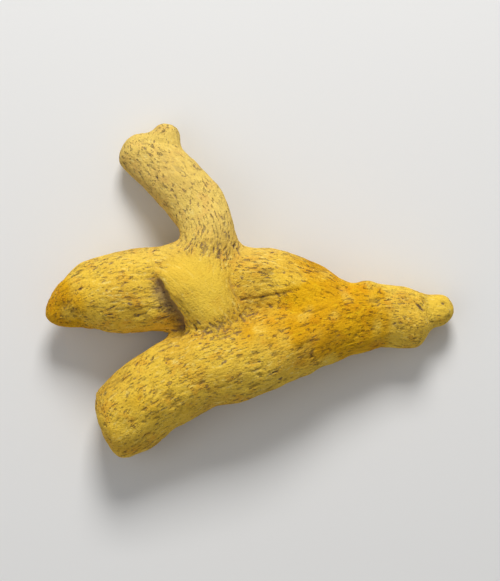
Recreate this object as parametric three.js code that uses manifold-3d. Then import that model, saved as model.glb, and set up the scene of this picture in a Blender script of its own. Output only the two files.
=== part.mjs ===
// A dried turmeric root: one rhizome of fingers grown into each other, lying on a flat surface.
// Millimetres, +Z up. +X runs along the long finger and +Y towards the upper finger's tip.
// The origin is on the surface that the root lies on, at the middle of its outline.
import * as THREE from 'three';
import { ImprovedNoise } from 'three/addons/math/ImprovedNoise.js';
import { mergeVertices } from 'three/addons/utils/BufferGeometryUtils.js';
import Module from 'manifold-3d';

// Driving dimensions. A finger is its centre line from tail to tip, as [x, y, z, radius] at each point.
// tail and tip are the lengths over which its two ends round off, and fillet is the reach of the
// smooth flesh that joins it to the fingers before it.
const FINGERS = {
	longFinger: {
		line: [
			[-25.9, -23.9, 7.0, 6.7],
			[-22.6, -22.5, 7.2, 7.0],
			[-16.4, -17.7, 8.8, 7.4],
			[-8.8, -13.4, 10.1, 7.5],
			[0.0, -10.8, 10.4, 7.4],
			[7.6, -8.2, 9.8, 7.0],
			[15.2, -5.4, 8.4, 6.3],
			[22.4, -4.1, 6.8, 5.7],
			[28.0, -4.3, 5.7, 5.6],
			[33.2, -4.9, 5.5, 5.3],
		],
		tail: 2.2,
		tip: 3.2,
		sides: 46,
		fillet: 0,
	},
	crossLobe: {
		line: [
			[-35.7, -4.5, 7.4, 2.0],
			[-33.3, -3.2, 7.5, 3.2],
			[-30.9, -1.9, 7.7, 4.8],
			[-27.4, -0.4, 8.0, 6.5],
			[-20.6, 0.4, 8.4, 7.5],
			[-12.0, 0.8, 8.4, 7.4],
			[-3.0, 1.4, 8.3, 7.1],
			[6.0, 1.0, 8.0, 6.7],
			[12.4, -1.2, 7.7, 6.1],
			[18.4, -4.2, 7.2, 4.6],
		],
		tail: 1.8,
		tip: 3.0,
		sides: 44,
		fillet: 1.5,
	},
	upperFinger: {
		line: [
			[-21.2, 28.2, 4.6, 4.1],
			[-18.4, 25.1, 4.9, 4.5],
			[-13.8, 21.4, 6.6, 5.1],
			[-10.2, 17.4, 8.2, 5.2],
			[-7.4, 13.4, 9.8, 5.0],
			[-6.5, 9.6, 10.8, 5.0],
			[-7.2, 5.6, 11.6, 5.4],
			[-7.2, 1.6, 12.2, 5.3],
			[-5.6, -2.0, 12.1, 4.9],
			[-3.3, -5.2, 11.0, 4.4],
			[-1.0, -8.6, 8.8, 3.8],
		],
		tail: 3.8,
		tip: 3.4,
		sides: 34,
		fillet: 2.0,
	},
	footFlesh: {
		line: [
			[-16.0, 3.4, 8.4, 3.8],
			[-13.4, 3.9, 10.4, 5.2],
			[-10.8, 2.4, 11.6, 5.9],
			[-8.3, -0.1, 11.8, 5.6],
			[-5.7, -3.2, 11.2, 4.9],
			[-3.0, -6.2, 9.9, 4.3],
			[-0.8, -9.0, 8.6, 3.6],
		],
		tail: 3.4,
		tip: 3.2,
		sides: 34,
		fillet: 2.2,
	},
	tipBud: {
		line: [
			[-16.8, 24.4, 5.2, 2.6],
			[-15.0, 27.0, 5.6, 3.0],
			[-13.8, 30.6, 5.8, 2.8],
		],
		tail: 2.0,
		tip: 2.5,
		sides: 18,
		fillet: 1.4,
	},
	endBud: {
		line: [
			[28.4, -4.0, 5.2, 2.8],
			[32.6, -3.2, 5.0, 3.2],
			[37.4, -2.8, 4.7, 3.0],
		],
		tail: 2.6,
		tip: 2.6,
		sides: 18,
		fillet: 0.9,
	},
	sideFlesh: {
		line: [
			[7.6, -3.6, 8.6, 3.0],
			[12.6, -3.6, 9.4, 4.0],
			[18.4, -3.8, 8.4, 4.2],
			[24.0, -4.0, 6.8, 3.8],
		],
		tail: 4.0,
		tip: 3.0,
		sides: 18,
		fillet: 3.0,
	},
	shoulderBud: {
		line: [
			[20.6, -3.0, 8.6, 1.9],
			[21.2, 0.2, 9.2, 1.9],
			[21.6, 2.4, 9.4, 1.6],
		],
		tail: 1.6,
		tip: 1.6,
		sides: 12,
		fillet: 1.8,
	},
	bellySwelling: {
		line: [
			[2.0, -11.2, 8.6, 4.6],
			[4.4, -12.2, 8.2, 4.6],
			[7.2, -13.2, 8.0, 3.8],
		],
		tail: 4.0,
		tip: 3.0,
		sides: 16,
		fillet: 2.4,
	},
};
const RING_STEP = 1.4; // spacing of a finger's rings of vertices along it
const CAP_RINGS = 5; // rings of vertices over a rounded end
const SAMPLE_STEP = 0.5; // spacing of the centre line's samples
const SETTLING_PASSES = 3; // how often a vertex is moved towards the filleted flesh
const SLOPE_STEP = 0.05; // the step over which the flesh's slope is measured
const STEEPEST_MOVE = 0.25; // the least slope squared that a move is worked out with
const LUMP = { height: 0.6, across: 7 }; // slow swellings of the flesh
// Wrinkles that drying draws along a finger. They wander sideways by the drift over driftAlong,
// and keenness and level shape the noise into narrow valleys between rounded ridges.
const FURROW = { depth: 0.22, across: 2.7, along: 9, drift: 0.9, driftAlong: 8, keenness: 3.4, level: 0.8 };
// The rings that leaves left, a step apart: each a small shelf that slopes up to a sharper fall.
// Their line wanders over the distances in wanderSize, and they come and go over fade. The two levels
// are how far along the noise the wandering and the fading are taken from.
const SCAR_RING = { step: 6.6, depth: 0.34, width: 0.9, lean: 0.4, strength: 0.6,
	wander: 2.6, wanderSize: [6, 12], wanderLevel: 4, fade: 7, fadeLevel: 2 };
const THIN = 3; // where a finger is thinner than this its relief grows weaker
const NOISE_LEVELS = 9; // how far apart in the noise the fingers' reliefs are
const SHARE_REACH = 1.1; // over this distance one finger's relief gives way to the next one's
const FEET = [[-23, -22], [28, -5], [-20, 26]]; // where its three low spots are, seen from above
const FOOT_REACH = 5; // a low spot is the lowest skin within this distance of its place
const FOOT_WEAR = 0.3; // how much of each low spot is pressed flat by what the root lies on
const GROUND = { side: 120, depth: 20 }; // the block that levels the low spots
const WELD = 1e-4; // vertices closer than this are one
const ROOT_COLOR = 0xc9981f;

const wasm = await Module();
wasm.setup();
const perlin = new ImprovedNoise();

// 0 at an end's pole, rising as a quarter circle to 1 where the end has rounded off.
const roundOff = (distance, reach) => {
	const left = 1 - Math.min(Math.max(distance / reach, 0), 1);
	return Math.sqrt(1 - left * left);
};

class Finger {

	constructor({ line, tail, tip, sides, fillet }, index) {

		this.axis = new THREE.CatmullRomCurve3(line.map(([x, y, z]) => new THREE.Vector3(x, y, z)));
		this.girth = new THREE.SplineCurve(line.map((point, i) => new THREE.Vector2(i, point[3])));
		this.length = this.axis.getLength();
		Object.assign(this, { tail, tip, sides, fillet, index });

		this.stretches = Math.ceil(this.length / SAMPLE_STEP);
		this.points = this.axis.getSpacedPoints(this.stretches);
		this.frames = this.axis.computeFrenetFrames(this.stretches);

	}

	radius(along) {

		const share = Math.min(Math.max(along / this.length, 0), 1);
		const girth = this.girth.getPoint(this.axis.getUtoTmapping(share)).y;
		return girth * roundOff(along, this.tail) * roundOff(this.length - along, this.tip);

	}

	// The smooth finger as one closed solid: a lathe of its radius, bent along its centre line.
	solid() {

		const straight = this.length - this.tail - this.tip;
		const rings = Math.max(2, Math.round(straight / RING_STEP));
		const profile = [];
		for (let i = 0; i < CAP_RINGS; i++)
			profile.push(this.tail * (1 - Math.cos((i / CAP_RINGS) * Math.PI / 2)));
		for (let i = 0; i <= rings; i++)
			profile.push(this.tail + (straight * i) / rings);
		for (let i = CAP_RINGS - 1; i >= 0; i--)
			profile.push(this.length - this.tip * (1 - Math.cos((i / CAP_RINGS) * Math.PI / 2)));

		const lathe = new THREE.LatheGeometry(
			profile.map((along) => new THREE.Vector2(this.radius(along), along)), this.sides);
		const place = lathe.attributes.position;
		const point = new THREE.Vector3();
		for (let i = 0; i < place.count; i++) {

			const [across, along, up] = [place.getX(i), place.getY(i), place.getZ(i)];
			const share = along / this.length;
			const k = Math.round(share * this.stretches);
			this.axis.getPointAt(Math.min(share, 1), point);
			point.addScaledVector(this.frames.normals[k], across);
			point.addScaledVector(this.frames.binormals[k], -up);
			place.setXYZ(i, ...point);

		}
		return toSolid(lathe);

	}

	// Where a point is on this finger: its distance along and out from the skin, and its angle round.
	locate(point) {

		let nearest = Infinity, k = 0;
		this.points.forEach((sample, i) => {

			const distance = point.distanceToSquared(sample);
			if (distance < nearest) [nearest, k] = [distance, i];

		});
		const arm = point.clone().sub(this.points[k]);
		const slide = THREE.MathUtils.clamp(arm.dot(this.frames.tangents[k]), -SAMPLE_STEP, SAMPLE_STEP);
		const step = this.length / this.stretches;
		const along = THREE.MathUtils.clamp(k * step + slide, 0, this.length);
		arm.addScaledVector(this.frames.tangents[k], k * step - along);
		return {
			along,
			out: arm.length() - this.radius(along),
			angle: Math.atan2(arm.dot(this.frames.binormals[k]), arm.dot(this.frames.normals[k])),
		};

	}

	// Height of the skin's relief: furrows along the finger, and the rings of leaf scars across it.
	relief({ along, angle }) {

		const radius = this.radius(along);
		const level = NOISE_LEVELS * this.index;
		const [x, y] = [Math.cos(angle), Math.sin(angle)];
		const noise = (across, length, shift = 0, side = 0) => perlin.noise(
			(x * radius + side) / across, (y * radius - side) / across, along / length + level + shift);

		const drift = FURROW.drift * perlin.noise(x, y, along / FURROW.driftAlong + level);
		const wrinkle = Math.abs(noise(FURROW.across, FURROW.along, 0, drift));
		const furrow = FURROW.depth * (FURROW.keenness * wrinkle - FURROW.level);

		const wander = SCAR_RING.wander * noise(...SCAR_RING.wanderSize, SCAR_RING.wanderLevel);
		const turns = (along + wander) / SCAR_RING.step;
		const offset = (turns - Math.round(turns)) * SCAR_RING.step / SCAR_RING.width;
		const shelf = (SCAR_RING.lean - offset) * Math.exp(-offset * offset);
		const strength = SCAR_RING.strength + noise(SCAR_RING.fade, SCAR_RING.fade, SCAR_RING.fadeLevel);
		return Math.min(1, radius / THIN) * (furrow + SCAR_RING.depth * strength * shelf);

	}

}

// A closed mesh as a manifold solid, and back as a geometry with shared vertices.
function toSolid(geometry) {

	geometry.deleteAttribute('normal');
	geometry.deleteAttribute('uv');
	const merged = mergeVertices(geometry, WELD);
	const keep = [];
	const corner = merged.index.array;
	for (let i = 0; i < corner.length; i += 3) {

		const [a, b, c] = corner.subarray(i, i + 3);
		if (a !== b && b !== c && c !== a) keep.push(a, b, c);

	}
	const solid = new wasm.Manifold(new wasm.Mesh({
		numProp: 3, vertProperties: merged.attributes.position.array, triVerts: new Uint32Array(keep) }));
	if (solid.volume() <= 0) throw new Error('a solid is inside out');
	return solid;

}

function toGeometry(solid) {

	const { numProp, vertProperties, triVerts } = solid.getMesh();
	const geometry = new THREE.BufferGeometry();
	geometry.setAttribute('position', new THREE.BufferAttribute(new Float32Array(vertProperties), numProp));
	geometry.setIndex(new THREE.BufferAttribute(new Uint32Array(triVerts), 1));
	return geometry;

}

// The largest body of a solid: without the pockets that joining seals inside it, or loose scraps.
function largestBody(solid) {

	return solid.decompose().reduce((most, body) => (body.volume() > most.volume() ? body : most));

}

// How far a point is out of the joined flesh. Two fingers closer than a fillet's reach melt together.
function fleshDistance(point, fingers) {

	let joined = fingers[0].locate(point).out;
	for (const finger of fingers.slice(1)) {

		const out = finger.locate(point).out;
		const near = Math.max(finger.fillet - Math.abs(joined - out), 0) / finger.fillet;
		joined = Math.min(joined, out) - near * near * finger.fillet / 4;

	}
	return joined;

}

// The outward direction of the joined flesh at a point, and how fast its distance grows that way.
function fleshSlope(point, fingers, here) {

	const rise = ([x, y, z]) => fleshDistance(point.clone().add(new THREE.Vector3(x, y, z)), fingers) - here;
	const steps = [[SLOPE_STEP, 0, 0], [0, SLOPE_STEP, 0], [0, 0, SLOPE_STEP]];
	return new THREE.Vector3(...steps.map(rise)).divideScalar(SLOPE_STEP);

}

function skinRelief(point, fingers) {

	const { height, across } = LUMP;
	const lump = height * perlin.noise(point.x / across, point.y / across, point.z / across);
	const places = fingers.map((finger) => finger.locate(point));
	const nearest = Math.min(...places.map((place) => place.out));
	let sum = 0, weights = 0;
	fingers.forEach((finger, i) => {

		const weight = Math.exp((nearest - places[i].out) / SHARE_REACH);
		sum += weight * finger.relief(places[i]);
		weights += weight;

	});
	return lump + sum / weights;

}

// Moves each vertex of the joined fingers out to the filleted flesh, then raises the relief on it.
function growSkin(geometry, fingers) {

	const place = geometry.attributes.position;
	const point = new THREE.Vector3();
	for (let i = 0; i < place.count; i++) {

		point.fromBufferAttribute(place, i);
		let slope;
		for (let pass = 0; pass < SETTLING_PASSES; pass++) {

			const here = fleshDistance(point, fingers);
			slope = fleshSlope(point, fingers, here);
			point.addScaledVector(slope, -here / Math.max(slope.lengthSq(), STEEPEST_MOVE));

		}
		point.addScaledVector(slope.normalize(), skinRelief(point, fingers));
		place.setXYZ(i, ...point);

	}
	return geometry;

}

// Lays the root down: its three low spots come level, a little below the ground.
function settle(geometry) {

	const place = geometry.attributes.position;
	const point = new THREE.Vector3();
	const lows = FEET.map(([x, y]) => {

		const low = new THREE.Vector3(x, y, Infinity);
		for (let i = 0; i < place.count; i++) {

			point.fromBufferAttribute(place, i);
			if (Math.hypot(point.x - x, point.y - y) < FOOT_REACH && point.z < low.z) low.copy(point);

		}
		return low;

	});
	const { normal, constant } = new THREE.Plane().setFromCoplanarPoints(...lows);
	for (let i = 0; i < place.count; i++) {

		point.fromBufferAttribute(place, i);
		const rise = (normal.dot(point) + constant) / normal.z;
		place.setZ(i, rise - FOOT_WEAR);

	}
	return geometry;

}

// What the root lies on. Cutting it away leaves the low spots flat.
function ground() {

	const block = new THREE.BoxGeometry(GROUND.side, GROUND.side, GROUND.depth);
	return toSolid(block.translate(0, 0, -GROUND.depth / 2));

}

const fingers = Object.values(FINGERS).map((sizes, index) => new Finger(sizes, index));
const joined = fingers.map((finger) => finger.solid()).reduce((sum, solid) => sum.add(solid));
const skin = settle(growSkin(toGeometry(largestBody(joined)), fingers));
const rooted = toGeometry(largestBody(toSolid(skin).subtract(ground())));
rooted.computeBoundingBox();
const middle = rooted.boundingBox.getCenter(new THREE.Vector3());
rooted.translate(-middle.x, -middle.y, 0);
rooted.computeVertexNormals();

const turmericRoot = new THREE.Mesh(rooted, new THREE.MeshStandardMaterial({
	color: ROOT_COLOR, roughness: 0.85, metalness: 0 }));
turmericRoot.name = 'turmeric_root';

const group = new THREE.Group();
group.add(turmericRoot);

export default group;
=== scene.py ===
import math
import random

import bmesh
import bpy
import numpy as np
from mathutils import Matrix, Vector, kdtree, noise


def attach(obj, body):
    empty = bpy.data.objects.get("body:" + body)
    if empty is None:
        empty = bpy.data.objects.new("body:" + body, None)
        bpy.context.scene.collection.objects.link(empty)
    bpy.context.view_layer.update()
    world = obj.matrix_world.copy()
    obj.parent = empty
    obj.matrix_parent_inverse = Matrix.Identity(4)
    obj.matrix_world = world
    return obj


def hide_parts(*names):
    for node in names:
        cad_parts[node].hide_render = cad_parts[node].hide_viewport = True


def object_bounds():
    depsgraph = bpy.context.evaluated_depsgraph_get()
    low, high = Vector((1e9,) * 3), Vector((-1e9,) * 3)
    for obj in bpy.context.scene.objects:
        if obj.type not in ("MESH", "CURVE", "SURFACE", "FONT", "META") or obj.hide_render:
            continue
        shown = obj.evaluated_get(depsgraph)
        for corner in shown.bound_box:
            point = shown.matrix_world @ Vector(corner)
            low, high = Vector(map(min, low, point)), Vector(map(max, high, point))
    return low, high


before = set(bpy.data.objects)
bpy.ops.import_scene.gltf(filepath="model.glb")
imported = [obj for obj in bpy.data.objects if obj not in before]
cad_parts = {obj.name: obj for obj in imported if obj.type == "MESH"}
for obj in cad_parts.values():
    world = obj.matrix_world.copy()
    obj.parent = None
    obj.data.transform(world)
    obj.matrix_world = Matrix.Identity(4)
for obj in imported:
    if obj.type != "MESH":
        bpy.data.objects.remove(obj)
cad_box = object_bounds()


# The root's body is one rhizome of dense flesh, boiled and then dried in the sun until it is as hard as
# wood. Its fingers branched from each other as they grew, so there is no joint in it, only flesh that runs
# together. The rind starts as a finely divided copy of the solid. Sizes are in millimetres.

MM = 0.001
WELD = 0.001
BODY_CELL = 0.57
BODY_SMOOTHING = 9
SMOOTHING_SHARE = 0.5


def finely_divided(node, name):
    """A finely divided copy of a node's mesh, with its facets smoothed away."""
    body = bmesh.new()
    body.from_mesh(node.data)
    bmesh.ops.remove_doubles(body, verts=body.verts, dist=WELD * MM)
    mesh = bpy.data.meshes.new(name)
    body.to_mesh(mesh)
    body.free()
    piece = bpy.data.objects.new(name, mesh)
    bpy.context.scene.collection.objects.link(piece)
    cells = piece.modifiers.new("even_cells", "REMESH")
    cells.mode = "VOXEL"
    cells.voxel_size = BODY_CELL * MM
    smoothing = piece.modifiers.new("smoothing", "SMOOTH")
    smoothing.factor = SMOOTHING_SHARE
    smoothing.iterations = BODY_SMOOTHING
    divided = piece.modifiers.new("divided", "SUBSURF")
    divided.levels = 1
    divided.render_levels = 1
    seen = piece.evaluated_get(bpy.context.evaluated_depsgraph_get())
    piece.data = bpy.data.meshes.new_from_object(seen)
    piece.data.name = name
    piece.modifiers.clear()
    return piece


rind = finely_divided(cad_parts["turmeric_root"], "turmeric_rind")
place = np.zeros(len(rind.data.vertices) * 3)
rind.data.vertices.foreach_get("co", place)
place = place.reshape(-1, 3) / MM
out_of_skin = np.zeros(len(rind.data.vertices) * 3)
rind.data.vertices.foreach_get("normal", out_of_skin)
out_of_skin = out_of_skin.reshape(-1, 3)


# The grain of the rind. Each finger grew lengthwise, and its fibres, wrinkles and cracks follow it. A
# centre line for each one, as places with the finger's radius, gives every point of the rind its place
# along and round it.

CENTRE_LINES = {
    "long_finger": [
        (-26.5, -24.4, 6.2, 6.7), (-23.2, -23.0, 6.4, 7.0), (-17.0, -18.2, 8.0, 7.4),
        (-9.4, -13.9, 9.3, 7.5), (-0.6, -11.3, 9.7, 7.4), (7.0, -8.7, 9.1, 7.0),
        (14.6, -5.9, 7.7, 6.3), (21.8, -4.6, 6.1, 5.7), (27.4, -4.8, 5.0, 5.6), (32.6, -5.4, 4.8, 5.3)],
    "cross_lobe": [
        (-36.3, -5.0, 6.7, 2.0), (-33.9, -3.7, 6.8, 3.2), (-31.5, -2.4, 7.0, 4.8),
        (-28.0, -0.9, 7.3, 6.5), (-21.2, -0.1, 7.7, 7.5), (-12.6, 0.3, 7.8, 7.4),
        (-3.6, 0.9, 7.7, 7.1), (5.4, 0.5, 7.4, 6.7), (11.8, -1.7, 7.1, 6.1), (17.8, -4.7, 6.6, 4.6)],
    "upper_finger": [
        (-21.8, 27.7, 4.1, 4.1), (-19.0, 24.6, 4.4, 4.5), (-14.4, 20.9, 6.1, 5.1),
        (-10.8, 16.9, 7.6, 5.2), (-8.0, 12.9, 9.2, 5.0), (-7.1, 9.1, 10.2, 5.0),
        (-7.8, 5.1, 11.0, 5.4), (-7.8, 1.1, 11.6, 5.3), (-6.2, -2.5, 11.5, 4.9),
        (-3.9, -5.7, 10.4, 4.4), (-1.6, -9.1, 8.2, 3.8)],
    "upper_finger_foot": [
        (-16.6, 2.9, 7.8, 3.8), (-14.0, 3.4, 9.8, 5.2), (-11.4, 1.9, 11.0, 5.9),
        (-8.9, -0.6, 11.2, 5.6), (-6.3, -3.7, 10.6, 4.9), (-3.6, -6.7, 9.3, 4.3),
        (-1.4, -9.5, 8.0, 3.6)],
    "tip_bud": [(-17.4, 23.9, 4.7, 2.6), (-15.6, 26.5, 5.1, 3.0), (-14.4, 30.1, 5.3, 2.8)],
    "end_bud": [(27.8, -4.5, 4.5, 2.8), (32.0, -3.7, 4.3, 3.2), (36.8, -3.3, 4.0, 3.0)],
    "shoulder_bud": [(20.0, -3.5, 7.9, 1.9), (20.6, -0.3, 8.5, 1.9), (21.0, 1.9, 8.7, 1.6)],
}
FINGER_NAMES = list(CENTRE_LINES)
SAMPLES_BETWEEN = 12
APART = 53.0  # how far apart along the noise two fingers' grain is
SHORTEST_FIBRE = 0.05  # the least length of a fibre's way that is drawn out to 1


class Finger:
    """A finger's centre line as close samples, with a frame at each that doesn't twist."""

    def __init__(self, line):
        rows = np.array([line[0]] + line + [line[-1]], float)
        rows[0] = 2 * rows[1] - rows[2]
        rows[-1] = 2 * rows[-2] - rows[-3]
        samples = []
        for before, start, end, after in zip(rows, rows[1:], rows[2:], rows[3:]):
            for step in range(SAMPLES_BETWEEN):
                t = step / SAMPLES_BETWEEN
                samples.append(0.5 * (2 * start + (end - before) * t
                                      + (2 * before - 5 * start + 4 * end - after) * t * t
                                      + (3 * start - before - 3 * end + after) * t ** 3))
        samples.append(rows[-2])
        samples = np.array(samples)
        self.centre, self.radius = samples[:, :3], samples[:, 3]
        steps = np.linalg.norm(np.diff(self.centre, axis=0), axis=1)
        self.along = np.concatenate([[0], np.cumsum(steps)])
        self.length = self.along[-1]
        self.way = np.gradient(self.centre, axis=0)
        self.way /= np.linalg.norm(self.way, axis=1)[:, None]
        self.side = np.zeros_like(self.way)
        side = np.array([0.0, 0.0, 1.0])
        for k, way in enumerate(self.way):
            side = side - way * side.dot(way)
            side /= np.linalg.norm(side)
            self.side[k] = side
        self.over = np.cross(self.way, self.side)

    def locate(self, points):
        """How far each point is out of the finger, its place in the straightened finger, its sample."""
        gap = (points ** 2).sum(1)[:, None] + (self.centre ** 2).sum(1) - 2 * points @ self.centre.T
        k = gap.argmin(1)
        arm = points - self.centre[k]
        slide = (arm * self.way[k]).sum(1)
        limit = self.length / len(self.along)
        slide = np.clip(slide, -limit, limit)
        arm_side = (arm * self.side[k]).sum(1)
        arm_over = (arm * self.over[k]).sum(1)
        beyond = np.sqrt(np.maximum((arm ** 2).sum(1) - slide ** 2, 0))
        return beyond - self.radius[k], np.stack([arm_side, arm_over, self.along[k] + slide], 1), k


fingers = [Finger(line) for line in CENTRE_LINES.values()]
located = [finger.locate(place) for finger in fingers]
outs = np.stack([out for out, _, _ in located], 1)
order = outs.argsort(1)
own = order[:, 0]
everyone = np.arange(len(place))
nearest_out = outs[everyone, own]
to_next = outs[everyone, order[:, 1]] - nearest_out
grain = np.zeros_like(place)
fibre = np.zeros_like(place)
for i, finger in enumerate(fingers):
    mine = own == i
    _, straight, sample = located[i]
    grain[mine] = straight[mine] + (0, 0, APART * i)
    fibre[mine] = finger.way[sample[mine]]
fibre -= out_of_skin * (fibre * out_of_skin).sum(1)[:, None]
fibre /= np.maximum(np.linalg.norm(fibre, axis=1), SHORTEST_FIBRE)[:, None]


def noise_over(points, *across):
    """Noise from -1 to 1 at each point, drawn out by a length along each axis.

    A number added to the points takes another stretch of the noise.
    """
    return np.array([noise.noise(p) for p in (points / across).tolist()])


def between(one, other):
    """How far each point is from being as near to one finger as to the other, and how near the skin.

    A finger's name also stands for the fingers whose names have it in them.
    """
    a, b = [outs[:, [part in name for name in FINGER_NAMES]].min(1) for part in (one, other)]
    return a - b, np.minimum(a, b) - nearest_out


def away_from(spots):
    """Each point's distance, seen from above, from the nearest of a few spots."""
    return np.min([np.hypot(place[:, 0] - x, place[:, 1] - y) for x, y in spots], axis=0)


# The relief of the rind. Drying shrinks the flesh more along some fibres than others, so the thin rind is
# drawn into fine strands, and small cracks open in it along them. They are closest where one finger grew
# from another. Each size is a length across the finger twice and then one along it.

STRAND = {"depth": 0.17, "size": (1.5, 1.5, 7.0), "narrowness": 2.6, "sharpness": 2}
CRINKLE = {"depth": 0.20, "size": (0.78, 0.78, 1.9), "keenness": 1.7, "sharpness": 1.5}
FINE_CRINKLE = {"share": 0.55, "size": (0.44, 0.44, 1.0)}
SWELL = {"height": 0.12, "size": (2.4, 2.4, 2.4)}
DRIFT = {"reach": 0.5, "size": (2.6, 2.6, 4.0)}
STRAND_PATCHES = {"usual": 0.62, "change": 1.1, "size": (6.0, 6.0, 6.0), "least": 0.1, "most": 1.2}
CRINKLE_PATCHES = {"usual": 0.55, "change": 1.5, "size": (4.5, 4.5, 4.5), "least": 0.25, "most": 1.0}
WEAKER_ON_TOP = 0.5  # how much weaker strands are on skin that faces up, and stronger on skin facing down
THIN_FINGER = 4.0  # where a finger is thinner than this its relief grows weaker
THINNEST_SHARE = 0.3  # but no weaker than this share
SEAM_REACH = 0.9  # relief is also weaker this near to the next finger
SEAM_SHARE = 0.35  # down to this share
SMOOTHED_AWAY = 0.7  # how much of it the smooth foot lacks
SEAM_BLUR = 0.35  # the painted grain dies away this near to the next finger


def in_patches(patches, stretch, less=0):
    """How strong something is at each point of the rind, in soft patches."""
    strong = patches["usual"] + patches["change"] * noise_over(place + stretch, *patches["size"])
    return np.clip(strong - less, patches["least"], patches["most"])


# The foot of the upper finger, where it crosses the lobe, is smooth and has few cracks.
SMOOTH_SPOTS = [(-11.6, 3.0), (-8.4, 2.0), (-6.8, -1.0)]
SMOOTH_REACH = 4.0
SMOOTH_ABOVE = 9
smooth = np.exp(-(away_from(SMOOTH_SPOTS) / SMOOTH_REACH) ** 4) * (place[:, 2] > SMOOTH_ABOVE)
girth = np.zeros(len(place))
for i, finger in enumerate(fingers):
    girth[own == i] = finger.radius[located[i][2]][own == i]
stout = np.clip(girth / THIN_FINGER, THINNEST_SHARE, 1) * np.clip(to_next / SEAM_REACH, SEAM_SHARE, 1)
stout = stout * (1 - SMOOTHED_AWAY * smooth)
drift = DRIFT["reach"] * noise_over(grain, *DRIFT["size"])
drifting = grain + np.stack([drift, -drift, np.zeros(len(place))], 1)
strand = np.clip(1 - STRAND["narrowness"] * np.abs(noise_over(drifting, *STRAND["size"])), 0, 1)
strand *= in_patches(STRAND_PATCHES, 70, WEAKER_ON_TOP * out_of_skin[:, 2]) * stout
fine_crinkle = FINE_CRINKLE["share"] * noise_over(drifting + 40, *FINE_CRINKLE["size"])
crinkle = noise_over(drifting + 20, *CRINKLE["size"]) + fine_crinkle
crinkle = np.clip(-CRINKLE["keenness"] * crinkle, 0, 1)
crinkle *= in_patches(CRINKLE_PATCHES, 90)
crinkle *= stout
relief = -STRAND["depth"] * strand ** STRAND["sharpness"]
relief -= CRINKLE["depth"] * crinkle ** CRINKLE["sharpness"]
relief += SWELL["height"] * noise_over(place, *SWELL["size"])

# Creases stay open where one finger presses on the next. Each follows the line between two fingers, as
# deep and as wide as given, near the places listed, seen from above. Past them the flesh runs together.
CREASES = [
    ("upper_finger", "cross_lobe", 0.75, 0.50,
     [(-16.2, 0.8), (-14.9, -1.0), (-13.4, -2.6), (-11.8, -4.2)]),
    ("upper_finger", "long_finger", 0.42, 0.32, [(-10.4, -4.9), (-9.2, -5.6)]),
    ("upper_finger", "cross_lobe", 0.40, 0.30, [(-3.6, 1.2), (-2.8, -0.6)]),
    ("long_finger", "cross_lobe", 0.34, 0.28, [(-1.4, -1.7), (1.0, -1.1), (4.4, -0.2)]),
    ("long_finger", "cross_lobe", 0.45, 0.34, [(-13.5, -5.6), (-15.5, -7.0)]),
    ("tip_bud", "upper_finger", 0.12, 0.30, [(-15.0, 26.0)]),
    ("end_bud", "long_finger", 0.42, 0.34, [(32.6, -6.6), (33.2, -4.0)])]
CREASE_REACH = 2.2
CREASE_END = 1.4  # the length over which a crease closes at its ends
CREASE_SKIN = 0.3  # how far under the skin of both fingers it still goes
# The depth of the creases, which also sets how much painted shade they get.
crease_and_painted_shade = np.zeros(len(place))
for one, other, depth, width, spots in CREASES:
    apart, below = between(one, other)
    opened = np.clip((CREASE_REACH - away_from(spots)) / CREASE_END, 0, 1)
    crease_and_painted_shade += opened * depth * np.exp(-below / CREASE_SKIN - (apart / width) ** 2)
relief -= crease_and_painted_shade

# Below the lower left edge of the upper finger's foot the lobe is pressed in, so the foot stands over it.
PRESSED_SPOTS = [(-16.2, -0.8), (-13.8, -3.0), (-11.8, -5.0)]
PRESSED_REACH = 3.4
PRESSED_DEPTH = 1.2
PRESSED_WIDTH = 2.1
PRESSED_FULLNESS = 1.4  # above 1, it keeps its whole depth for a way round each spot
PRESSED_EDGE = 0.5  # the length over which it starts, out from the foot
PRESSED_MIDDLE = 0.6  # how far from the foot it is deepest
apart, below = between("upper_finger", "cross_lobe")
pressed = np.clip(PRESSED_FULLNESS - away_from(PRESSED_SPOTS) / PRESSED_REACH, 0, 1)
pressed = pressed * np.clip(apart / PRESSED_EDGE, 0, 1)
pressed = pressed * np.exp(-((apart - PRESSED_MIDDLE) / PRESSED_WIDTH) ** 2)
relief -= PRESSED_DEPTH * pressed

# Single furrows that the skin folded into on top, seen from above: each with its two ends, its depth and
# its half width. The first two are the slit beside the end bud, the last two are where the long finger's
# skin laps over the lobe, and the others run along the lobe. The longer ones wander.
FURROWS = [
    ((29.4, -2.1), (31.1, -3.6), 0.50, 0.24), ((29.2, -1.2), (29.9, -1.9), 0.25, 0.18),
    ((-21.8, -1.7), (-17.3, -1.2), 0.26, 0.20), ((-20.9, -5.0), (-18.0, -3.9), 0.30, 0.20),
    ((-18.6, 2.1), (-16.9, 2.3), 0.22, 0.18), ((-18.6, -3.0), (-15.6, -3.4), 0.20, 0.18),
    ((-23.6, -3.4), (-19.8, -3.1), 0.16, 0.18), ((-17.4, -5.4), (-14.6, -5.2), 0.22, 0.20),
    ((-1.9, -1.7), (3.4, -1.1), 0.36, 0.26), ((2.6, -1.2), (8.6, 0.2), 0.30, 0.24)]
FURROW_WAVE = {"reach": 0.35, "size": (1.6, 1.6, 1.6), "longer_than": 3}
FURROW_TIP = 0.35  # its half width at its ends, as a share of the one given, which it has in its middle
FACING_UP = 0.1  # only skin that faces up by more than this has furrows
furrow = np.zeros(len(place))
wave = FURROW_WAVE["reach"] * noise_over(place + 110, *FURROW_WAVE["size"])
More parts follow.
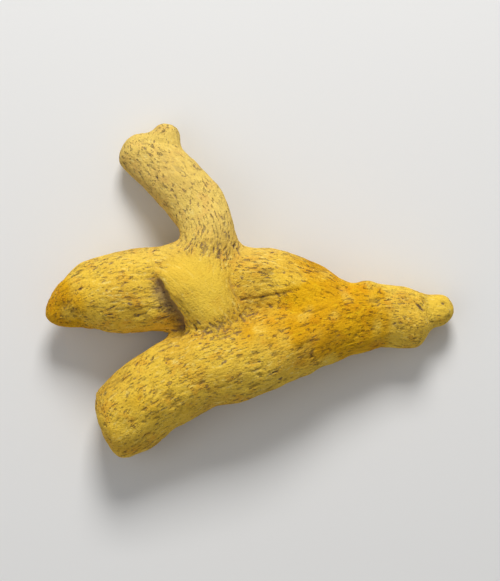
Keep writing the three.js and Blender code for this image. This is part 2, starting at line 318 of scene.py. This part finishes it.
for start, end, depth, half_width in FURROWS:
    way = np.subtract(end, start)
    share = np.clip((place[:, :2] - start) @ way / way.dot(way), 0, 1)
    gap = np.linalg.norm(place[:, :2] - start - share[:, None] * way, axis=1)
    gap = gap + wave * (way.dot(way) > FURROW_WAVE["longer_than"] ** 2)
    tapered = half_width * (FURROW_TIP + 4 * (1 - FURROW_TIP) * share * (1 - share))
    furrow = np.maximum(furrow, depth * np.exp(-(gap / tapered) ** 2) * (out_of_skin[:, 2] > FACING_UP))
relief -= furrow

# The two joints: where the upper finger grew out of the lobe, and where it meets the long finger. The
# skin there is drawn into short strokes, in a band that bows towards the long finger.
JOINT_WIDTH = 1.7
JOINT_AT = 27.0  # how far along the upper finger the first joint is
JOINT_BOW = 0.45
JOINT_BOW_FROM = 3  # where across the finger it is just there
JOINT_SKIN = 0.5  # how far under the skin of both fingers the second joint goes
SECOND_JOINT_FROM = 6  # the height at which the second joint begins
SECOND_JOINT_WHOLE = 9  # and the height above which it is whole
upper = FINGER_NAMES.index("upper_finger")
upper_place = located[upper][1]
band = upper_place[:, 2] - JOINT_AT - JOINT_BOW * (upper_place[:, 0] - JOINT_BOW_FROM)
first_joint = (own == upper) * np.exp(-(band / JOINT_WIDTH) ** 2)
apart, below = between("upper_finger", "long_finger")
risen = (place[:, 2] - SECOND_JOINT_FROM) / (SECOND_JOINT_WHOLE - SECOND_JOINT_FROM)
second_joint = np.exp(-below / JOINT_SKIN - (apart / JOINT_WIDTH) ** 2) * np.clip(risen, 0, 1)
joint = np.maximum(first_joint, second_joint)

# Each crack is a short groove along the fibres, with half its length, half its width and its depth, in
# that order. Its tone says how dark it has stayed under the dust, from 0 to 1. Pits are broader and darker
# cracks, and the strokes at the joints are longer ones.
CRACKS = 1500
CLOSEST_CRACKS = 0.72
CRACK_SIZES = ((0.13, 0.45), (0.08, 0.06), (0.08, 0.16))  # a small one's, and how much more a large one's
CRACK_RARITY = 2.6  # the higher it is, the fewer large ones there are
FAINTEST = 0.3  # the least tone of a crack
SMALL_SHARE = 0.4  # how much of a large crack's tone above that a small one has
PITS = 170
PIT_SPANS = ((0.16, 0.34), (0.12, 0.19), (0.15, 0.3), (0.7, 1.0))  # the least and most, with the tone
PITTED_BELOW = 0.3  # pits are only where the skin is less smooth than this
JOINT_CRACKS = 150
CLOSEST_STROKES = 0.50
STROKE_SIZES = ((0.22, 0.55), (0.10, 0.08), (0.18, 0.20))
STROKE_TONES = (0.4, 0.9)
IN_JOINT = 0.4  # strokes are only where the joint is stronger than this
CRACK_SWING = 0.38
DARK_REACH = 1.9  # how many half widths out of its middle a crack is dark
CARVED_REACH = 2.6  # the square of how many half widths out it is carved
REFUSED_CRACK = 0.2  # how much of a crack a place counts as where there is no room for one
REFUSED_STROKE = 0.05  # and how much of a stroke
draw = random.Random(11)
tree = kdtree.KDTree(len(place))
for i, point in enumerate(place.tolist()):
    tree.insert(point, i)
tree.balance()
mark = np.zeros(len(place))
carved = np.zeros(len(place))
taken = {}


def open_crack(i, half_length, half_width, depth, tone):
    """Carves a crack into the rind round vertex i, along its fibre or a little off it."""
    centre = Vector(place[i])
    skin = Vector(out_of_skin[i])
    swing = draw.gauss(0, CRACK_SWING)
    way = Vector(fibre[i])
    way = way * math.cos(swing) + skin.cross(way) * math.sin(swing)
    for point, k, _ in tree.find_range(centre, half_length + DARK_REACH * half_width):
        arm = point - centre
        along = arm.dot(way)
        across = (arm - along * way).length
        beyond = max(abs(along) - (half_length - half_width), 0)
        edge = math.hypot(beyond, across) / half_width
        mark[k] = max(mark[k], tone * min(max(DARK_REACH - edge, 0), 1))
        carved[k] = max(carved[k], depth * max(0, 1 - edge * edge / CARVED_REACH))


def room_at(i, spacing):
    """Whether no crack is nearer to vertex i than the spacing; keeps the place if so."""
    cell = tuple(int(c // spacing) for c in place[i])
    for x in (-1, 0, 1):
        for y in (-1, 0, 1):
            for z in (-1, 0, 1):
                for other in taken.get((cell[0] + x, cell[1] + y, cell[2] + z), ()):
                    if np.abs(place[i] - place[other]).max() < spacing:
                        return False
    taken.setdefault(cell, []).append(i)
    return True


made = 0
while made < CRACKS:
    i = draw.randrange(len(place))
    if draw.random() < smooth[i] or not room_at(i, CLOSEST_CRACKS):
        made += REFUSED_CRACK
        continue
    made += 1
    size = draw.random() ** CRACK_RARITY
    tone = FAINTEST + (1 - FAINTEST) * draw.random() * (SMALL_SHARE + (1 - SMALL_SHARE) * size)
    open_crack(i, *[least + more * size for least, more in CRACK_SIZES], tone)
for _ in range(PITS):
    i = draw.randrange(len(place))
    if smooth[i] < PITTED_BELOW:
        open_crack(i, *[draw.uniform(*span) for span in PIT_SPANS])
taken.clear()
at_joints = np.flatnonzero(joint > IN_JOINT).tolist()
made = 0
while made < JOINT_CRACKS:
    i = at_joints[draw.randrange(len(at_joints))]
    if not room_at(i, CLOSEST_STROKES):
        made += REFUSED_STROKE
        continue
    made += 1
    size = draw.random()
    sizes = [least + more * size for least, more in STROKE_SIZES]
    open_crack(i, *sizes, draw.uniform(*STROKE_TONES))
relief -= carved

# The dust has rubbed off the lobe's tip and the stretch of the long finger before its last segment.
# Each spot has its place, its reach and how much dust has gone.
RUBBED_SPOTS = [((-35, -5, 7), 7.0, 1.3), ((-24, -25, 5), 6.0, 0.4), ((-18, -20, 12), 7.0, 0.28),
                ((-8, -15, 14), 6.0, 0.22), ((8, -7, 14), 6.5, 0.45),
                ((15, -4, 11), 7.0, 0.8), ((21, -6, 8), 6.5, 0.85), ((12, 2, 9), 6.5, 0.6),
                ((0, -7, 16), 4.0, 0.35), ((-30, 0, 10), 5.0, 0.2)]
LAST_SEGMENT = 26.0
SEGMENT_EDGE = 2.5  # the length over which the dust comes back before the last segment
SEGMENT_SHARE = 0.3  # how much of the rubbing the last segment still has
RUBBED_PATCHES = {"strength": 1.1, "size": (3.0, 3.0, 3.0)}
rubbed = np.zeros(len(place))
for spot, reach, share in RUBBED_SPOTS:
    rubbed += share * np.exp(-((place - spot) ** 2).sum(1) / reach ** 2)
rubbed *= np.clip((LAST_SEGMENT - place[:, 0]) / SEGMENT_EDGE, SEGMENT_SHARE, 1)
patches_rubbed = RUBBED_PATCHES["strength"] * noise_over(place + 30, *RUBBED_PATCHES["size"])
rubbed = np.clip(rubbed * (1 + patches_rubbed), 0, 1)

# A painted haze of pale light, together with dust, lies thickest on the upper finger and the top of the
# lobe.
HAZE_AND_DUST_FROM = 2.0
HAZE_AND_DUST_TO = 14.0
dust_and_painted_haze = np.clip((place[:, 1] - HAZE_AND_DUST_FROM) / (HAZE_AND_DUST_TO - HAZE_AND_DUST_FROM), 0, 1) * (1 - rubbed)

# What the root lies on has pressed its lowest spots flat, and its highest one is a little worn down, each
# within a millimetre.
TOP_WEAR = 0.15
FLAT_REACH = 0.6  # relief dies away this near to the table
relief *= np.clip(place[:, 2] / FLAT_REACH, 0, 1)
raised = place + out_of_skin * relief[:, None]
raised[:, 2] = np.maximum(raised[:, 2] - place[:, 2].min() * np.clip(1 - place[:, 2], 0, 1), 0)
raised[:, 2] -= TOP_WEAR * np.clip(raised[:, 2] - (cad_box[1][2] / MM - 1), 0, 1) ** 2
rind.data.vertices.foreach_set("co", (raised * MM).ravel())

# What the colours follow is kept with the rind. Creases are darkened with painted shade, and furrows and
# pressed-in flesh are darkened as creases are.
FURROW_PAINTED_SHADE = 1.5
PRESSED_PAINTED_SHADE = 0.52
painted_crease_shade = np.maximum(crease_and_painted_shade, FURROW_PAINTED_SHADE * furrow) + PRESSED_PAINTED_SHADE * pressed
for name, kind, values in (
        ("grain", "FLOAT_VECTOR", grain), ("mark", "FLOAT", mark), ("strand", "FLOAT", strand),
        ("crinkle", "FLOAT", crinkle), ("crease_and_painted_shade", "FLOAT", painted_crease_shade), ("rubbed", "FLOAT", rubbed),
        ("dust_and_painted_haze", "FLOAT", dust_and_painted_haze), ("smooth", "FLOAT", smooth),
        ("inside_one", "FLOAT", np.clip(to_next / SEAM_BLUR, 0, 1))):
    layer = rind.data.attributes.new(name, kind, "POINT")
    layer.data.foreach_set("vector" if kind == "FLOAT_VECTOR" else "value", values.ravel())
for polygon in rind.data.polygons:
    polygon.use_smooth = True
rind.data.update()


# The colour of the rind. The dried rind is coated with its own dust. It is bright yellow on the crests,
# orange where it has rubbed off, dull ochre between the strands, and dark purple brown inside the cracks.
# The same dark colour is painted into the creases as shade, and a painted haze of pale light lies over the
# upper finger.

BRIGHT_YELLOW = (0.88, 0.58, 0.056, 1)
DUSTY_YELLOW = (0.76, 0.46, 0.040, 1)
ORANGE = (0.72, 0.33, 0.020, 1)
DULL_OCHRE = (0.44, 0.25, 0.026, 1)
OLIVE = (0.36, 0.22, 0.032, 1)
PALE_DUST = (0.90, 0.66, 0.15, 1)
PAINTED_HAZE = (0.70, 0.56, 0.24, 1)
RUBBED_TINT = (0.93, 0.76, 0.045, 1)
MARK_GREY = (0.115, 0.072, 0.080, 1)
CRACK_BROWN = (0.050, 0.022, 0.008, 1)
GRAIN_SCALE = (1.0, 1.0, 0.36)  # across a finger twice and along it, where the painted grain is drawn out
STREAK_AT_SEAM = 0.42  # what the streaks come to where two fingers meet
GRAIN_DEPTH = 0.2
ROUGHNESS = 0.88
SHINE = 0.22
MIX_SHARE, MIX_UNDER, MIX_OVER, MIX_COLOUR = 0, 6, 7, 2  # which sockets a mix node has for colours

dust = bpy.data.materials.new("dried_rind")
dust.use_nodes = True
nodes, links = dust.node_tree.nodes, dust.node_tree.links
nodes.clear()


def node(kind, sockets, **settings):
    """A shader node with its settings. Each socket is linked to its source or set to its value."""
    made_node = nodes.new(kind)
    for key, value in settings.items():
        setattr(made_node, key, value)
    for socket, source in sockets.items():
        if isinstance(source, bpy.types.NodeSocket):
            links.new(source, made_node.inputs[socket])
        else:
            made_node.inputs[socket].default_value = source
    return made_node


def painted(name):
    """What the rind keeps under a name at each of its points."""
    return node("ShaderNodeAttribute", {}, attribute_name=name)


def fall(value, start, end):
    """1 at and below start, 0 at and above end, for a value from a socket."""
    return node("ShaderNodeMapRange", {
        "Value": value, "From Min": start, "From Max": end, "To Min": 1.0, "To Max": 0.0},
        interpolation_type="SMOOTHSTEP").outputs[0]


def rise(value, start, end, top=1.0):
    """0 at and below start, top at and above end, for a value from a socket."""
    return node("ShaderNodeMapRange", {
        "Value": value, "From Min": start, "From Max": end, "To Min": 0.0, "To Max": top},
        interpolation_type="SMOOTHSTEP").outputs[0]


def mixed(share, under, over, way="MIX"):
    """One colour with a share of another laid over it."""
    mix = node("ShaderNodeMix", {MIX_SHARE: share, MIX_UNDER: under, MIX_OVER: over},
               data_type="RGBA", blend_type=way)
    return mix.outputs[MIX_COLOUR]


def maths(operation, a, b):
    return node("ShaderNodeMath", {0: a, 1: b}, operation=operation).outputs[0]


def cloud(vector, scale, detail=2.0, roughness=0.5):
    """Soft noise from 0 to 1 with a scale."""
    return node("ShaderNodeTexNoise", {
        "Vector": vector, "Scale": scale, "Detail": detail, "Roughness": roughness}).outputs[0]


whole = node("ShaderNodeTexCoord", {}).outputs["Object"]
lengthwise = node("ShaderNodeMapping", {
    "Vector": painted("grain").outputs["Vector"], "Scale": GRAIN_SCALE}).outputs[0]

# Clouds over the whole root have a scale in metres, and those along the fingers in millimetres.
patches = cloud(whole, 95, 2, 0.5)
blotches = cloud(whole, 330, 4, 0.62)
specks = cloud(whole, 2900, 2, 0.65)
# The lengthwise grain of two fingers doesn't match where they meet, so it dies away there.
inside_one = painted("inside_one").outputs["Fac"]
streaks = maths("SUBTRACT", cloud(lengthwise, 1.7, 4, 0.66), STREAK_AT_SEAM)
streaks = maths("ADD", maths("MULTIPLY", streaks, inside_one), STREAK_AT_SEAM)
hairlines = maths("MULTIPLY", cloud(lengthwise, 2.6, 3, 0.6), inside_one)

rubbed_share = painted("rubbed").outputs["Fac"]
colour = mixed(rise(patches, 0.36, 0.62), DUSTY_YELLOW, BRIGHT_YELLOW)
colour = mixed(rise(blotches, 0.48, 0.68, 0.6), colour, ORANGE)
colour = mixed(rise(streaks, 0.50, 0.72, 0.5), colour, DULL_OCHRE)
colour = mixed(fall(streaks, 0.30, 0.46), colour, PALE_DUST)
colour = mixed(rise(painted("strand").outputs["Fac"], 0.25, 1.0, 0.6), colour, OLIVE)
colour = mixed(rise(specks, 0.53, 0.72, 0.5), colour, DULL_OCHRE)
colour = mixed(fall(specks, 0.28, 0.45), colour, BRIGHT_YELLOW)
colour = mixed(rise(painted("crinkle").outputs["Fac"], 0.35, 0.95, 0.6), colour, OLIVE)
# A painted haze of pale light, with dust, over the upper finger and the top of the lobe.
colour = mixed(rise(painted("dust_and_painted_haze").outputs["Fac"], 0.0, 1.0, 0.36), colour, PAINTED_HAZE)
colour = mixed(rise(rubbed_share, 0.05, 0.8), colour, RUBBED_TINT, "MULTIPLY")
colour = mixed(rise(painted("smooth").outputs["Fac"], 0.2, 1.0, 0.55), colour, BRIGHT_YELLOW)
dark = mixed(rubbed_share, MARK_GREY, CRACK_BROWN)
rough = fall(painted("smooth").outputs["Fac"], 0.0, 1.0)
crackle = maths("MULTIPLY", rise(hairlines, 0.56, 0.64), rise(blotches, 0.36, 0.56))
crackle = maths("MULTIPLY", crackle, rough)
colour = mixed(maths("MULTIPLY", crackle, 0.5), colour, dark)
ragged = maths("SUBTRACT", painted("mark").outputs["Fac"], maths("MULTIPLY", specks, 1.4))
colour = mixed(rise(ragged, -0.58, 0.25, 0.76), colour, dark)
uneven = maths("MULTIPLY", maths("SUBTRACT", streaks, 0.5), 0.5)
# Painted shade: the dark colour laid into the creases, furrows and pressed-in flesh, made uneven by the
# streaks.
colour = mixed(rise(maths("ADD", painted("crease_and_painted_shade").outputs["Fac"], uneven), 0.15, 0.6, 0.7), colour, dark)

height = maths("SUBTRACT", maths("ADD", specks, maths("MULTIPLY", streaks, 1.2)), crackle)
bump = node("ShaderNodeBump", {
    "Strength": 1.0, "Distance": GRAIN_DEPTH * MM, "Height": height})
surface = node("ShaderNodeBsdfPrincipled", {
    "Base Color": colour, "Normal": bump.outputs[0], "Roughness": ROUGHNESS, "Specular IOR Level": SHINE})
node("ShaderNodeOutputMaterial", {"Surface": surface.outputs[0]})
rind.data.materials.clear()
rind.data.materials.append(dust)
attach(rind, "root")
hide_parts("turmeric_root")


# The table, the light and the camera. The root lies on a plain pale table under soft light from above its
# upper finger, and the camera looks straight down on it. Sizes here are in metres.

FLOOR_SIZE = 2.0
PALE_GREY = (0.78, 0.77, 0.75, 1)
DAYLIGHT = (0.95, 0.97, 1.0, 1)
ground = bmesh.new()
bmesh.ops.create_grid(ground, x_segments=1, y_segments=1, size=FLOOR_SIZE / 2)
floor_mesh = bpy.data.meshes.new("table")
ground.to_mesh(floor_mesh)
ground.free()
floor = bpy.data.objects.new("table", floor_mesh)
bpy.context.scene.collection.objects.link(floor)
pale = bpy.data.materials.new("pale_table")
pale.use_nodes = True
pale_surface = pale.node_tree.nodes["Principled BSDF"]
pale_surface.inputs["Base Color"].default_value = PALE_GREY
pale_surface.inputs["Roughness"].default_value = 0.7
floor.data.materials.append(pale)


def soft_light(name, at, size, power):
    """A square soft light that points at the root."""
    data = bpy.data.lights.new(name, "AREA")
    data.shape = "SQUARE"
    data.size = size
    data.energy = power
    light = bpy.data.objects.new(name, data)
    light.location = at
    light.rotation_euler = (Vector((0, 0, 0)) - Vector(at)).to_track_quat("-Z", "Y").to_euler()
    bpy.context.scene.collection.objects.link(light)


soft_light("window", at=(0.02, 0.43, 0.38), size=0.20, power=2.88)
soft_light("bounce", at=(-0.35, -0.10, 0.50), size=0.5, power=0.5)
bpy.context.scene.view_settings.view_transform = "Standard"
world = bpy.data.worlds.new("room")
world.use_nodes = True
world.node_tree.nodes["Background"].inputs["Color"].default_value = DAYLIGHT
world.node_tree.nodes["Background"].inputs["Strength"].default_value = 0.30
bpy.context.scene.world = world

LENS = 180  # the lens and its sensor in millimetres
SENSOR = 36
SEEN_WIDTH = 0.089
SEEN_HEIGHT = 0.008  # the height over the table at which the view is as wide as that
view = bpy.data.cameras.new("camera")
view.sensor_fit = "HORIZONTAL"
view.sensor_width = SENSOR
view.lens = LENS
view.clip_start = 0.01
camera = bpy.data.objects.new("camera", view)
camera.location = (0, 0, SEEN_WIDTH * LENS / SENSOR + SEEN_HEIGHT)
bpy.context.scene.collection.objects.link(camera)
bpy.context.scene.camera = camera
